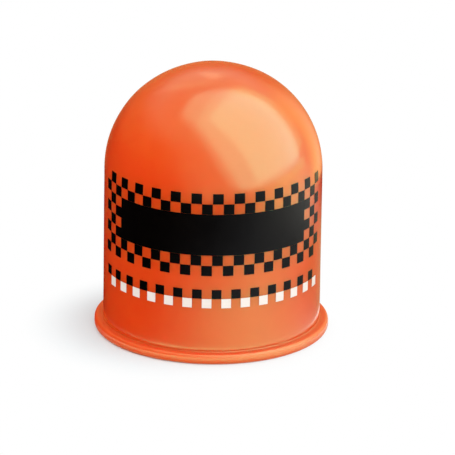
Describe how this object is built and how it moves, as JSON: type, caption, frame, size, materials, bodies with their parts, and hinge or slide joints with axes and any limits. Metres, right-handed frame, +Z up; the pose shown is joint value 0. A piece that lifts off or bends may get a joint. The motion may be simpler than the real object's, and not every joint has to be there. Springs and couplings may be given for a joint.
{
  "type": "tow ball cover",
  "caption": "Soft moulded cap that slips over a tow ball: a round wall closed by a dome, with a rounded rim around its open end.",
  "frame": {"origin": "on the axis, in the plane of the rim's flat underside", "axes": "+Z up the cover's axis towards the top of the dome; the cover is turned about Z, and -Y is the side that faces the camera"},
  "size_m": [0.0606, 0.0606, 0.0702],
  "materials": {
    "soft_pvc": "glossy orange soft PVC, straight from a polished mould",
    "black_ink": "black pad-print ink on the front of the wall, glossy when dry",
    "white_ink": "white pad-print ink on the front of the wall, glossy when dry"
  },
  "bodies": {
    "root": {"cover": "soft_pvc"}
  },
  "joints": []
}
